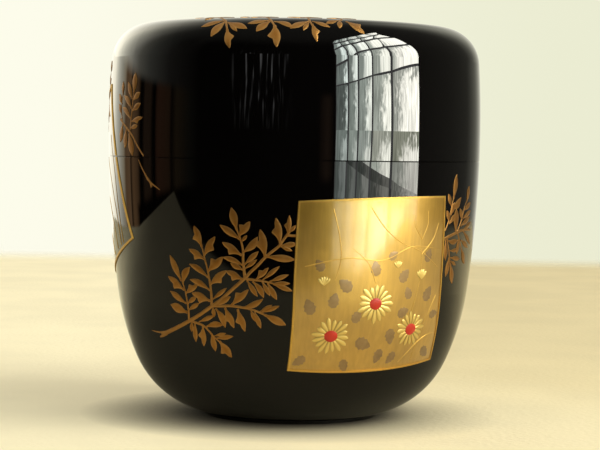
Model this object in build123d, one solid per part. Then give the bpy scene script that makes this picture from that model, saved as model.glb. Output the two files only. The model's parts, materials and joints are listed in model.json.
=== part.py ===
from build123d import *
import os

# Lacquer tea caddy: a turned wooden cup and an overlapping lid, both coated in black lacquer, with gold
# ornament laid on the outside. Millimetres, +Z up, origin at the centre of the foot on the surface that
# the caddy stands on. The caddy is round about Z, and its front faces -Y.

# Outside form, the lid on: insets are measured in from the belly, where the caddy is widest
belly_diameter = 66.0
belly_height = 50.5
overall_height = 70.0
top_crown = 1.69
brow_inset = 1.07
shoulder_radius = 6.7
hip_height = 22.6
hip_inset = 1.86
heel_height = 10.0
heel_inset = 5.51
foot_diameter = 31.0
foot_height = 0.5
foot_ring_width = 3.2
foot_recess = 0.35

# Where the cup and the lid meet
seam_height = 45.5
skirt_thickness = 1.7
lid_clearance = 0.1
collar_thickness = 1.3
collar_height = 8.0
seam_edge_ease = 0.1
collar_lip_ease = 0.4

# Walls inside
floor_thickness = 4.5
floor_blend_radius = 8.0
top_thickness = 2.8
ceiling_radius = 5.0

# Lacquer
coat = 0.3

# Gold card on the front of the cup, to the right of the middle
card_width = 27.6
card_height = 28.3
card_left_bow = 0.45
card_bottom_bow = 0.75
card_right_bow = 0.05
card_top_bow = 0.25
card_middle_height = 25.2
card_azimuth = 27.4
card_tilt = 1.9
card_relief = 0.12
border_width = 0.3
border_relief = 0.2

# Second card, of the same size, on the left side over the seam: black, with a gold line round its edge
side_card_middle_height = 40.0
side_card_azimuth = -91.0
side_card_tilt = 20.5
side_line_width = 0.35
side_line_relief = 0.15

# Places worked out from the sizes above
belly_radius = belly_diameter / 2
foot_radius = foot_diameter / 2
crown_radius = (belly_radius**2 + top_crown**2) / (2 * top_crown)
collar_top = seam_height + collar_height
beyond = belly_diameter + overall_height


def band(low, high, inner=0.0, outer=beyond):
    """Rectangle of the half section, between two heights and two radii."""
    return Pos((inner + outer) / 2, (low + high) / 2) * Rectangle(outer - inner, high - low)


def corner(section, radius, height):
    """Corner of a half section nearest to a place."""
    return section.vertices().sort_by_distance((radius, height))[0]


def crowned(margin):
    """Everything under the gently domed top, raised by a margin."""
    return Pos(0, overall_height - crown_radius) * Circle(crown_radius + margin)


def smooth_run(places, heading, outward_turn, margin):
    """Arcs that run smoothly through places, each moved out square to itself by a margin."""
    arcs = []
    for start, end in zip(places, places[1:]):
        next_heading = TangentArc(start, end, tangent=heading) % 1
        moved_start = start + margin * heading.rotate(Axis.Z, outward_turn)
        moved_end = end + margin * next_heading.rotate(Axis.Z, outward_turn)
        arcs.append(TangentArc(moved_start, moved_end, tangent=heading))
        heading = next_heading
    return arcs


def caddy_section(margin=0.0):
    """Half section of the caddy with its lid on, as if it were solid, larger all round by a margin."""
    belly = Vector(belly_radius, belly_height)
    brow = Vector(belly_radius - brow_inset, overall_height)
    hip = Vector(belly_radius - hip_inset, hip_height)
    heel = Vector(belly_radius - heel_inset, heel_height)
    foot = Vector(foot_radius, foot_height)
    lid_side = smooth_run([belly, brow], Vector(0, 1), -90, margin)
    cup_side = smooth_run([belly, hip, heel, foot], Vector(0, -1), 90, margin)
    low = cup_side[-1] @ 1
    high = lid_side[-1] @ 1
    closing = Polyline(low, (0, low.Y), (0, beyond), (high.X, beyond), high)
    section = make_face([*lid_side, *cup_side, *closing.edges()]) & crowned(margin)
    section += band(-margin, low.Y, 0, foot_radius + margin)
    section -= band(-beyond, foot_recess - margin, 0, foot_radius - foot_ring_width - margin)
    return fillet(corner(section, belly_radius, overall_height), shoulder_radius + margin)


def radius_at(height):
    """Outside radius of the caddy at a height."""
    return (Line((0, height), (beyond, height)) & caddy_section()).bounding_box().max.X


seam_radius = radius_at(seam_height)
bore_radius = seam_radius - skirt_thickness
collar_radius = bore_radius - lid_clearance
wall = seam_radius - collar_radius + collar_thickness


def cup_section(margin=0.0):
    """Half section of the cup, with the collar that the lid slides over, larger all round by a margin."""
    inside = caddy_section(-wall - margin) - band(-beyond, floor_thickness + margin)
    floor_edge = corner(inside, foot_radius, floor_thickness)
    inside = fillet(floor_edge, floor_blend_radius - margin)
    cup = caddy_section(margin) & band(-beyond, seam_height + margin)
    cup += band(seam_height - skirt_thickness, collar_top + margin, 0, collar_radius + margin)
    return cup - inside


def lid_section(margin=0.0):
    """Half section of the lid, larger all round by a margin."""
    inside = crowned(-top_thickness - margin) & band(0, beyond, 0, bore_radius - margin)
    ceiling_edge = corner(inside, bore_radius, overall_height)
    inside = fillet(ceiling_edge, ceiling_radius - margin)
    return (caddy_section(margin) & band(seam_height - margin, beyond)) - inside


def turned(section):
    """Solid of a half section turned about the axis."""
    return revolve(Plane.XZ * section, Axis.Z)


def cup_pieces():
    """The cup's wood, and its coats of lacquer: outside, foot and inside."""
    wood = cup_section(-coat)
    cup = cup_section()
    cup = chamfer(corner(cup, seam_radius, seam_height), seam_edge_ease)
    cup = chamfer([corner(cup, collar_radius, collar_top), corner(cup, 0, collar_top)], collar_lip_ease)
    lacquer = cup - wood
    foot_coat = lacquer & band(0, floor_thickness / 2, 0, foot_radius)
    outer_coat = (lacquer - caddy_section(-coat)) & band(0, seam_height, foot_radius)
    return {
        "body_core": turned(wood),
        "body_outer_lacquer": turned(outer_coat),
        "foot_lacquer": turned(foot_coat),
        "body_inner_lacquer": turned(lacquer - foot_coat - outer_coat),
    }


def lid_pieces():
    """The lid's wood, and its coats of lacquer: outside and inside."""
    wood = lid_section(-coat)
    lid = lid_section()
    rim = [corner(lid, bore_radius, seam_height), corner(lid, seam_radius, seam_height)]
    lacquer = chamfer(rim, seam_edge_ease) - wood
    outer_coat = lacquer - caddy_section(-coat)
    return {
        "lid_core": turned(wood),
        "lid_outer_lacquer": turned(outer_coat),
        "lid_inner_lacquer": turned(lacquer - outer_coat),
    }


def laid_on(drawing, azimuth, height, relief):
    """Flat drawing laid on the side of the caddy, its middle at an azimuth and a height."""
    prism = Pos(0, 0, height) * Rot(0, 0, azimuth) * extrude(Plane.XZ * drawing, beyond)
    return prism & turned(caddy_section(relief) - caddy_section())


def card_drawing(tilt, line_width):
    """A card's field and the line round its edge, both flat. Each edge bows out a little."""
    right = card_width / 2
    top = card_height / 2
    left_edge = ThreePointArc((-right, top), (-right - card_left_bow, 0), (-right, -top))
    bottom_edge = ThreePointArc((-right, -top), (0, -top - card_bottom_bow), (right, -top))
    right_edge = ThreePointArc((right, -top), (right + card_right_bow, 0), (right, top))
    top_edge = ThreePointArc((right, top), (0, top + card_top_bow), (-right, top))
    sheet = Rot(0, 0, tilt) * make_face([left_edge, bottom_edge, right_edge, top_edge])
    field = offset(sheet, -line_width)
    return field, sheet - field


def front_card_pieces():
    """Gold card on the front of the cup, and the raised line round its edge."""
    field, border = card_drawing(card_tilt, border_width)
    return {
        "gold_card": laid_on(field, card_azimuth, card_middle_height, card_relief),
        "card_border": laid_on(border, card_azimuth, card_middle_height, border_relief),
    }


def side_card_pieces():
    """Line round the second card, parted at the seam into a stretch on the cup and one on the lid."""
    field, drawn_line = card_drawing(side_card_tilt, side_line_width)
    line = laid_on(drawn_line, side_card_azimuth, side_card_middle_height, side_line_relief)
    return {
        "side_card_line_cup": line & turned(band(0, seam_height - seam_edge_ease)),
        "side_card_line_lid": line & turned(band(seam_height + seam_edge_ease, beyond)),
    }


def main():
    os.makedirs("parts", exist_ok=True)
    pieces = {**cup_pieces(), **lid_pieces(), **front_card_pieces(), **side_card_pieces()}
    for name, solid in pieces.items():
        export_step(solid, os.path.join("parts", f"{name}.step"))


main()
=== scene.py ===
import bisect
import functools
import itertools
import json
import math
import random

import bpy
from mathutils import Euler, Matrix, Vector
from mathutils.bvhtree import BVHTree
from mathutils.geometry import convex_hull_2d

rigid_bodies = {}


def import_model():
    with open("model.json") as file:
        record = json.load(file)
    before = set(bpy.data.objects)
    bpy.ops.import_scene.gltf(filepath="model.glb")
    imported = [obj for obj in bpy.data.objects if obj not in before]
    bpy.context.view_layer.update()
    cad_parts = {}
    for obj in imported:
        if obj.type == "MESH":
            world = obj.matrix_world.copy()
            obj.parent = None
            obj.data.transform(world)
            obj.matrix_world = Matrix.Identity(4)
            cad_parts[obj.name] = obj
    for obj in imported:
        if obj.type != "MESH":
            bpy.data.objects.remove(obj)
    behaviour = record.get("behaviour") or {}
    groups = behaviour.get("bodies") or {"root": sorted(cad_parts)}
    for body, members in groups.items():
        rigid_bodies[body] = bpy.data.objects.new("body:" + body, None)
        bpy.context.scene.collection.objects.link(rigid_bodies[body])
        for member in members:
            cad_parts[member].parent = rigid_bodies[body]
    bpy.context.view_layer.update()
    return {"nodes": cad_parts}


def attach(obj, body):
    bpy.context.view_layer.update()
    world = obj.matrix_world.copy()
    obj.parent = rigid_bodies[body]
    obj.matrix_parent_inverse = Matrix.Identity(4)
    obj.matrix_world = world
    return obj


bl_info = {
    "name": "Lacquer tea caddy",
    "version": (1, 0, 0),
    "blender": (4, 5, 0),
    "location": "3D View > Sidebar > Tea caddy",
    "description": "Dresses a turned tea caddy in black lacquer and gold ornament",
    "category": "Object",
}

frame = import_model()

MM = 0.001

# The picture's frame, and the camera that was fitted to the caddy's outline in it
PICTURE_WIDTH, PICTURE_HEIGHT = 600, 450
CAMERA_PLACE = Vector((0.00121, -0.360, 0.04836))
CAMERA_PITCH, CAMERA_ROLL = math.radians(87.66), math.radians(0.94)
CAMERA_TURN = Euler((CAMERA_PITCH, 0, 0)).to_matrix() @ Euler((0, 0, CAMERA_ROLL)).to_matrix()
CAMERA_LENS, CAMERA_SENSOR = 120.9, 36.0

# The coats of lacquer that make the caddy's outside
OUTSIDE_COATS = ("body_outer_lacquer", "foot_lacquer", "lid_outer_lacquer")


def linear(hex_colour):
    """An sRGB hex colour as linear red, green and blue."""
    parts = [int(hex_colour[i:i + 2], 16) / 255 for i in (1, 3, 5)]
    return tuple(p / 12.92 if p <= 0.04045 else ((p + 0.055) / 1.055) ** 2.4 for p in parts)


class CaddyLacquer(bpy.types.PropertyGroup):
    """The coats of lacquer and the wood under them."""

    black: bpy.props.FloatVectorProperty(
        name="Black", description="Colour of the lacquer, black with a breath of brown",
        subtype="COLOR", default=linear("#050404"))
    gloss_roughness: bpy.props.FloatProperty(
        name="Gloss roughness", description="How far the polished outside blurs what it mirrors",
        default=0.0, min=0.0, max=1.0)
    inside_roughness: bpy.props.FloatProperty(
        name="Inside roughness", description="Roughness of the unpolished coat inside",
        default=0.16, min=0.0, max=1.0)
    ripple: bpy.props.FloatProperty(
        name="Ripple", description="Length of the faint waves that hand polishing leaves",
        default=6 * MM, min=1 * MM, max=50 * MM, unit="LENGTH")
    wood: bpy.props.FloatVectorProperty(
        name="Wood", description="Colour of the turned wood under the lacquer",
        subtype="COLOR", default=linear("#B98A5A"))


class CaddyGold(bpy.types.PropertyGroup):
    """The gold of the ornament."""

    card: bpy.props.FloatVectorProperty(
        name="Card gold", description="Colour of the gold powder that fills the front card",
        subtype="COLOR", default=linear("#D0A650"))
    line: bpy.props.FloatVectorProperty(
        name="Line gold", description="Colour of the raised gold lines",
        subtype="COLOR", default=linear("#E3B65C"))
    spray: bpy.props.FloatVectorProperty(
        name="Spray gold", description="Colour of the redder gold powder of the fern sprays",
        subtype="COLOR", default=linear("#93622A"))
    # Painted highlight: the paler gold along a leaflet's edge stands in for light catching it
    spray_edge_highlight: bpy.props.FloatVectorProperty(
        name="Spray edge", description="Colour of the paler gold along a leaflet's edge",
        subtype="COLOR", default=linear("#AF834C"))
    petal: bpy.props.FloatVectorProperty(
        name="Petal gold", description="Colour of the pale gold powder of the petals",
        subtype="COLOR", default=linear("#F2D27A"))
    leaf: bpy.props.FloatVectorProperty(
        name="Leaf", description="Colour of the dull alloy powder of the leaves on the card",
        subtype="COLOR", default=linear("#A08258"))
    red: bpy.props.FloatVectorProperty(
        name="Red", description="Colour of the red lacquer in the middle of each blossom",
        subtype="COLOR", default=linear("#C8301B"))
    powder_grain: bpy.props.FloatProperty(
        name="Powder grain", description="Size of the gold powder's grain, drawn coarse enough to show",
        default=0.16 * MM, min=0.02 * MM, max=1 * MM, unit="LENGTH")
    leaflet_relief: bpy.props.FloatProperty(
        name="Leaflet relief", description="Height of a leaflet's rib over the lacquer",
        default=0.13 * MM, min=0.02 * MM, max=0.5 * MM, unit="LENGTH")
    petal_relief: bpy.props.FloatProperty(
        name="Petal relief", description="Height of a petal's rib over the card",
        default=0.12 * MM, min=0.02 * MM, max=0.5 * MM, unit="LENGTH")


class CaddyStage(bpy.types.PropertyGroup):
    """The floor, the room's light and the camera's surroundings."""

    cloth: bpy.props.FloatVectorProperty(
        name="Cloth", description="Colour of the pale cloth that the caddy stands on, on the left",
        subtype="COLOR", default=linear("#FBEECB"))
    # Painted shade: the cloth on the right is coloured darker, as if further from the light wall
    cloth_shaded_right: bpy.props.FloatVectorProperty(
        name="Cloth, right", description="Colour of the pale cloth on the right, further from the light wall",
        subtype="COLOR", default=linear("#F0DEB2"))
    wall_left: bpy.props.FloatVectorProperty(
        name="Wall, left", description="Colour of the pale wall behind, on the left",
        subtype="COLOR", default=linear("#FDFCEB"))
    wall_right: bpy.props.FloatVectorProperty(
        name="Wall, right", description="Colour of the pale wall behind, on the right",
        subtype="COLOR", default=linear("#EBECD2"))
    floor_glow: bpy.props.FloatProperty(
        name="Floor glow", description="Share of the floor's plain colour that the camera sees unshaded",
        default=0.25, min=0.0, max=1.0)
    ceiling: bpy.props.FloatProperty(
        name="Ceiling", description="Soft light from above", default=0.75, min=0.0, max=5.0)
    window_distance: bpy.props.FloatProperty(
        name="Window distance", description="Distance from the caddy to the window on its right",
        default=1.3, min=0.3, max=5.0, unit="LENGTH")
    window_strength: bpy.props.FloatProperty(
        name="Window in the lacquer", description="Brightness of the window that the polished lacquer mirrors",
        default=20.0, min=0.0, max=100.0)
    window_light: bpy.props.FloatProperty(
        name="Window light", description="Brightness of the window as soft light on everything else",
        default=7.2, min=0.0, max=100.0)


# What the names of node types start with: a name that is given in full is found last
NODE_FAMILIES = ("ShaderNode", "GeometryNode", "FunctionNode", "Node", "")


def rgba(colour, share=1.0):
    """A colour with full alpha, made darker or lighter by a share."""
    return (*[min(share * c, 1) for c in colour], 1)


def add(tree, kind, *inputs, **named):
    """Adds a node of a kind, which may be given without its family's name, with its settings and links.

    Inputs come in order or by a capitalised name, with _ for a space. Each is a value, an output to link to, or a
    node, for its first output. A name in lower case is a setting.
    """
    family = next(name for name in NODE_FAMILIES if hasattr(bpy.types, name + kind))
    node = tree.nodes.new(family + kind)
    sockets = dict(enumerate(inputs))
    for name, value in named.items():
        if name.islower():
            setattr(node, name, value)
        else:
            sockets[name.replace("_", " ")] = value
    for name, value in sockets.items():
        if isinstance(value, bpy.types.Node):
            value = value.outputs[0]
        if isinstance(value, bpy.types.NodeSocket):
            tree.links.new(value, node.inputs[name])
        else:
            node.inputs[name].default_value = value
    return node


def new_mesh(name, points, edges, faces, attributes=()):
    """A mesh with attributes: each is its name, type, domain, the field that holds its values, and the values."""
    made = bpy.data.meshes.new(name)
    made.from_pydata(points, edges, faces)
    for attribute, kind, domain, field, values in attributes:
        made.attributes.new(attribute, kind, domain).data.foreach_set(field, values)
    return made


def new_object(name, data):
    """An object in the scene."""
    made = bpy.data.objects.new(name, data)
    bpy.context.scene.collection.objects.link(made)
    return made


# The turned outside


def outside_outline():
    """Radius and height of points on the caddy's outside, from the foot's edge to the middle of the top."""
    rings = {
        (round(math.hypot(v.co.x, v.co.y), 6), round(v.co.z, 6))
        for name in OUTSIDE_COATS for v in frame["nodes"][name].data.vertices
    }
    both_sides = [Vector((side * r, z)) for r, z in rings for side in (1, -1)]
    hull = [both_sides[i] for i in convex_hull_2d(both_sides)]
    points = sorted({(p.x, p.y) for p in hull if p.x > 0}, key=lambda p: p[1])
    return [*points, (0.0, points[-1][1])]


def outside_surface():
    """The outside coats as one tree to cast rays on."""
    points, faces = [], []
    for name in OUTSIDE_COATS:
        mesh = frame["nodes"][name].data
        faces += [[len(points) + i for i in polygon.vertices] for polygon in mesh.polygons]
        points += [v.co.copy() for v in mesh.vertices]
    return BVHTree.FromPolygons(points, faces)


OUTSIDE = outside_surface()
OUTLINE = outside_outline()
RADII, HEIGHTS = zip(*OUTLINE)
LENGTHS = list(itertools.accumulate(map(math.dist, OUTLINE, OUTLINE[1:]), initial=0.0))
GIRTH = max(RADII)


def at_height(height, values):
    """What a list with a value for each point of the outline gives at a height."""
    i = min(max(bisect.bisect(HEIGHTS, height), 1), len(HEIGHTS) - 1)
    share = (height - HEIGHTS[i - 1]) / max(HEIGHTS[i] - HEIGHTS[i - 1], 1e-9)
    return values[i - 1] + min(max(share, 0), 1) * (values[i] - values[i - 1])


def on_side(azimuth, height):
    """Flat place of a point on the side: x runs round the girth, y runs up the outline."""
    return Vector((azimuth * GIRTH, at_height(height, LENGTHS), 0))


def on_top(azimuth, height):
    """Flat place of a point on the lid's top and shoulder, unrolled from the middle of the top."""
    from_middle = LENGTHS[-1] - at_height(height, LENGTHS)
    return Vector((from_middle * math.sin(azimuth), -from_middle * math.cos(azimuth), 0))


def seen_at(x, y):
    """Azimuth and height of the place on the caddy that the picture shows at a pixel."""
    focal = PICTURE_WIDTH * CAMERA_LENS / CAMERA_SENSOR
    ray = Vector(((x - PICTURE_WIDTH / 2) / focal, (PICTURE_HEIGHT / 2 - y) / focal, -1))
    hit = OUTSIDE.ray_cast(CAMERA_PLACE, CAMERA_TURN @ ray)[0]
    if hit is None:
        raise ValueError(f"The picture's place {x}, {y} is not on the caddy")
    return math.atan2(hit.x, -hit.y), hit.z


# Ornament


class Drawing:
    """A flat drawing of strokes and marks, to be laid on the caddy."""

    def __init__(self, place):
        self.place = place
        self.points = []
        self.edges = []

    def seen(self, x, y):
        """Flat place of what the picture shows at a pixel."""
        return self.place(*seen_at(x, y))

    def stroke(self, places, start_width, end_width):
        """A raised line through flat places, that narrows evenly."""
        first, last = len(self.points), len(places) - 1
        for i, point in enumerate(places):
            self.points.append((point, start_width + i / last * (end_width - start_width), (0, 0, 0), 0.0, 0))
        self.edges += [(first + i, first + i + 1) for i in range(last)]

    def mark(self, base, tip, breadth, kind=0):
        """A leaflet, petal or leaf from a base to a tip."""
        self.points.append((base, 0.0, tip - base, breadth, kind))

    def mesh(self, name):
        places, widths, reaches, breadths, kinds = zip(*self.points)
        return new_mesh(name, places, self.edges, [], (
            ("width", "FLOAT", "POINT", "value", widths),
            ("breadth", "FLOAT", "POINT", "value", breadths),
            ("kind", "INT", "POINT", "value", kinds),
            ("reach", "FLOAT_VECTOR", "POINT", "vector", [x for reach in reaches for x in reach]),
        ))


# A motif's section, from its left edge to its right one: each point's share of the half width, its share of the
# rib's height, or none where it is sunk into what the motif lies on, and how much it has of the rib's tone
MOTIF_SECTION = (
    (1, None, 0), (1, 0.5, 0), (0.62, 0.85, 0.7), (0, 1, 1), (-0.62, 0.85, 0.7), (-1, 0.5, 0), (-1, None, 0),
)
MOTIF_SINK = 0.03 * MM


def motif(name, lefts, rights, relief, bend=0.0):
    """A flat closed motif along X from 0 to 1, with a low rib, from the half widths on its left and right."""
    last, across = len(lefts) - 1, len(MOTIF_SECTION)
    points, faces, rib = [], [], []
    for i, (left, right) in enumerate(zip(lefts, rights)):
        x = i / last
        aside = bend * 4 * x * (1 - x)
        # The rib is lowest at the ends
        rise = relief * (0.5 + 0.5 * math.sin(math.pi * min(max(x, 0.06), 0.94)))
        for share, up, tone in MOTIF_SECTION:
            y = share * (left if share > 0 else right) + aside
            points.append((x, y, -MOTIF_SINK if up is None else up * rise))
            rib.append(tone)
    for a in range(0, last * across, across):
        b = a + across
        faces += [(a + j + 1, b + j + 1, b + j, a + j) for j in range(across - 1)]
        faces.append((a, b, b + across - 1, a + across - 1))
    faces.append(tuple(reversed(range(across))))
    faces.append(tuple(last * across + j for j in range(across)))
    return bpy.data.objects.new(name, new_mesh(name, points, [], faces, [("rib", "FLOAT", "POINT", "value", rib)]))


def motif_collection(name, pieces):
    """A collection of motifs for a drawing to pick from, in order of their names."""
    made = bpy.data.collections.new(name)
    bpy.context.scene.collection.children.link(made)
    for piece in pieces:
        made.objects.link(piece)
    return made


def discard(collection):
    """Removes a collection of motifs once every drawing that picks from it is made."""
    for piece in list(collection.objects):
        mesh = piece.data
        bpy.data.objects.remove(piece)
        bpy.data.meshes.remove(mesh)
    bpy.data.collections.remove(collection)


def outline_curve():
    """The outline as a curve in the XZ plane, for drawings to be laid along."""
    curve = bpy.data.curves.new("outline", "CURVE")
    curve.dimensions = "3D"
    spline = curve.splines.new("POLY")
    spline.points.add(len(OUTLINE) - 1)
    for point, (radius, height) in zip(spline.points, OUTLINE):
        point.co = (radius, 0, height, 1)
    return new_object("outline", curve)


LAID_TREE = "Ornament laid on a turned form"
LAID_INPUTS = (
    ("Drawing", "Geometry"), ("Motifs", "Collection"), ("Outline", "Object"), ("Girth radius", "Float"),
    ("Line flatness", "Float"), ("Line step", "Float"), ("Base height", "Float"), ("Over the top", "Bool"),
    ("Finish", "Material"),
)
# Length of a stroke's segments, the sides of its tube, and how much it has of the rib's tone
LINE_STEP, LINE_SIDES, LINE_RIB = 0.35 * MM, 8, 0.5


def laid_tree():
    """Geometry nodes that turn a flat drawing into raised gold on the turned outside."""
    tree = bpy.data.node_groups.new(LAID_TREE, "GeometryNodeTree")
    tree.is_modifier = True
    for name, kind in LAID_INPUTS:
        tree.interface.new_socket(name, in_out="INPUT", socket_type="NodeSocket" + kind)
    tree.interface.new_socket("Laid", in_out="OUTPUT", socket_type="NodeSocketGeometry")
    node = functools.partial(add, tree)
    given = node("GroupInput").outputs
    width, breadth, which, reach = (
        node("InputNamedAttribute", Name=name, data_type=kind)
        for name, kind in (("width", "FLOAT"), ("breadth", "FLOAT"), ("kind", "INT"), ("reach", "FLOAT_VECTOR"))
    )

    # Each stroke is a tube as wide as the stroke, pressed flat
    half_width = node("Math", width, 0.5, operation="MULTIPLY")
    lines = node("MeshToCurve", Mesh=given["Drawing"])
    lines = node("CurveSplineType", Curve=lines, spline_type="CATMULL_ROM")
    lines = node("SetCurveRadius", Curve=lines, Radius=half_width)
    lines = node("ResampleCurve", Curve=lines, Length=given["Line step"], mode="LENGTH")
    ring = node("CurvePrimitiveCircle", Resolution=LINE_SIDES, Radius=1.0)
    tube = node("CurveToMesh", Curve=lines, Profile_Curve=ring, Scale=node("InputRadius"), Fill_Caps=True)
    tube = node("StoreNamedAttribute", Geometry=tube, Name="rib", Value=LINE_RIB, data_type="FLOAT", domain="POINT")
    part = node("SeparateXYZ", node("InputPosition")).outputs
    across, up, over = part["X"], part["Y"], part["Z"]
    pressed = node("Math", over, given["Line flatness"], operation="MULTIPLY")
    tube = node("SetPosition", Geometry=tube, Position=node("CombineXYZ", across, up, pressed))

    # Each mark is a motif, turned and stretched to the mark's reach and breadth
    length = node("VectorMath", reach, operation="LENGTH").outputs["Value"]
    marks = node(
        "InstanceOnPoints", Points=given["Drawing"], Pick_Instance=True, Instance_Index=which,
        Selection=node("Compare", breadth, 0.0, data_type="FLOAT", operation="GREATER_THAN"),
        Instance=node("CollectionInfo", Collection=given["Motifs"], Separate_Children=True),
        Rotation=node("AlignRotationToVector", Vector=reach, axis="X", pivot_axis="Z"),
        Scale=node("CombineXYZ", length, breadth, 1.0))
    both = node("JoinGeometry")
    for piece in (marks, tube):
        tree.links.new(piece.outputs[0], both.inputs[0])
    whole = node("RealizeInstances", Geometry=both)

    # Azimuth and length along the outline of every point, on the side or over the top
    squares = [node("Math", value, 2.0, operation="POWER") for value in (across, up)]
    from_middle = node("Math", node("Math", *squares, operation="ADD"), operation="SQRT")
    front = node("Math", up, -1.0, operation="MULTIPLY")
    line = node("GeometryNodeObjectInfo", Object=given["Outline"]).outputs["Geometry"]
    line_length = node("CurveLength", Curve=line)
    side_turn = node("Math", across, given["Girth radius"], operation="DIVIDE")
    top_turn = node("Math", across, front, operation="ARCTAN2")
    top_length = node("Math", line_length, from_middle, operation="SUBTRACT")
    azimuth = node("Switch", given["Over the top"], side_turn, top_turn, input_type="FLOAT")
    along = node("Switch", given["Over the top"], up, top_length, input_type="FLOAT")

    # Its height over the drawing is measured square to the outline
    sample = node("SampleCurve", Curves=line, Length=along, mode="LENGTH").outputs
    spot = node("SeparateXYZ", sample["Position"]).outputs
    heading = node("SeparateXYZ", sample["Tangent"]).outputs
    lift = node("Math", over, given["Base height"], operation="ADD")
    outward = node("Math", heading["Z"], lift, operation="MULTIPLY")
    radius = node("Math", spot["X"], outward, operation="ADD")
    inward = node("Math", heading["X"], lift, operation="MULTIPLY")
    sine, cosine = (node("Math", azimuth, operation=ratio) for ratio in ("SINE", "COSINE"))
    forward = node("Math", radius, cosine, operation="MULTIPLY")
    place = node(
        "CombineXYZ", node("Math", radius, sine, operation="MULTIPLY"),
        node("Math", forward, -1.0, operation="MULTIPLY"), node("Math", spot["Z"], inward, operation="SUBTRACT"))
    whole = node("SetPosition", Geometry=whole, Position=place)
    node("GroupOutput", node("SetMaterial", Geometry=whole, Material=given["Finish"]))
    return tree


def laid(name, drawing, motifs, finish, body, base_height=0.0, over_top=False, flatness=0.28):
    """Lays a drawing on the caddy through the tree, as one plain mesh that rides on a body."""
    tree = bpy.data.node_groups.get(LAID_TREE) or laid_tree()
    outline = outline_curve()
    drawn = drawing.mesh(name)
    piece = new_object(name, drawn)
    modifier = piece.modifiers.new("laid", "NODES")
    modifier.node_group = tree
    values = {
        "Motifs": motifs, "Outline": outline, "Girth radius": GIRTH, "Line flatness": flatness,
        "Line step": LINE_STEP, "Base height": base_height, "Over the top": over_top, "Finish": finish,
    }
    for socket in tree.interface.items_tree:
        if socket.name in values:
            modifier[socket.identifier] = values[socket.name]
    evaluated = piece.evaluated_get(bpy.context.evaluated_depsgraph_get())
    finished = bpy.data.meshes.new_from_object(evaluated)
    piece.modifiers.remove(modifier)
    piece.data = finished
    finished.name = name
    bpy.data.meshes.remove(drawn)
    bpy.data.objects.remove(outline)
    finished.set_sharp_from_angle(angle=math.radians(50))
    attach(piece, body)


PLAIN, TOOTH_LEFT, TOOTH_RIGHT, BENT_LEFT, BENT_RIGHT = range(5)
BLADE_TOOTH = (1, 1, 1, 1, 1.05, 1.2, 1.5, 1.75, 1.35, 0.75, 0.7, 0.8, 0.9, 1, 1)


def fern_leaflets(relief):
    """Lance-shaped leaflets: plain, with a tooth on the left or the right edge, and bent left or right."""
    last = len(BLADE_TOOTH) - 1
    blade = [0.5 * math.sin(math.pi * (i / last) ** 1.25) ** 0.9 for i in range(last + 1)]
    blade[:2], blade[-2:] = (0.13, 0.17), (0.16, 0.05)
    toothed = [half * tooth for half, tooth in zip(blade, BLADE_TOOTH)]
    return motif_collection("fern_leaflets", [
        motif("leaflet_0_plain", blade, blade, relief),
        motif("leaflet_1_tooth_left", toothed, blade, relief),
        motif("leaflet_2_tooth_right", blade, toothed, relief),
        motif("leaflet_3_bent_left", blade, blade, relief, 0.3),
        motif("leaflet_4_bent_right", blade, blade, relief, -0.3),
    ])


# Places on the picture, in its pixels. A stroke is its points, and its width at the start and the end in
# millimetres. A leaflet is the place of its base, the place of its tip, its breadth across, and where it isn't
# plain its kind, as seen from its base.
LEFT_SPRAY_STROKES = (
    (((162, 334.5), (170, 331), (180, 326), (190, 320.5), (200, 314.5), (212, 306), (220, 300.5), (230, 291.5),
      (245, 278), (250, 272.5), (258, 265), (264, 258.5), (271, 252.5), (279, 246), (284, 239), (290, 231)), 0.72,
      0.4),
    (((168, 332), (160, 332.3), (152, 330.3)), 0.6, 0.1),
    (((167, 333), (163.5, 335.5), (160.3, 336.7)), 0.7, 0.3),
    (((189, 320.5), (188.5, 310), (187, 300), (185, 290), (182, 281)), 0.45, 0.25),
    (((211.5, 306), (211.5, 297), (210.5, 287), (209, 277), (207, 267), (205, 260), (203, 251), (201.5, 246)), 0.5,
      0.22),
    (((245, 279), (244, 270), (243, 260), (243, 250), (241, 241), (238.5, 234), (236.5, 229)), 0.5, 0.25),
    (((190, 321), (197, 323), (204, 326), (209, 331), (214, 337), (220, 342)), 0.5, 0.3),
    (((212, 306), (222, 306), (232, 306), (242, 307.5), (252, 309.5), (264, 314.5)), 0.5, 0.35),
    (((246, 279), (254, 280), (262, 281), (275, 284)), 0.45, 0.25),
    (((287, 235.5), (297, 236)), 0.4, 0.4),
)
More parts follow.
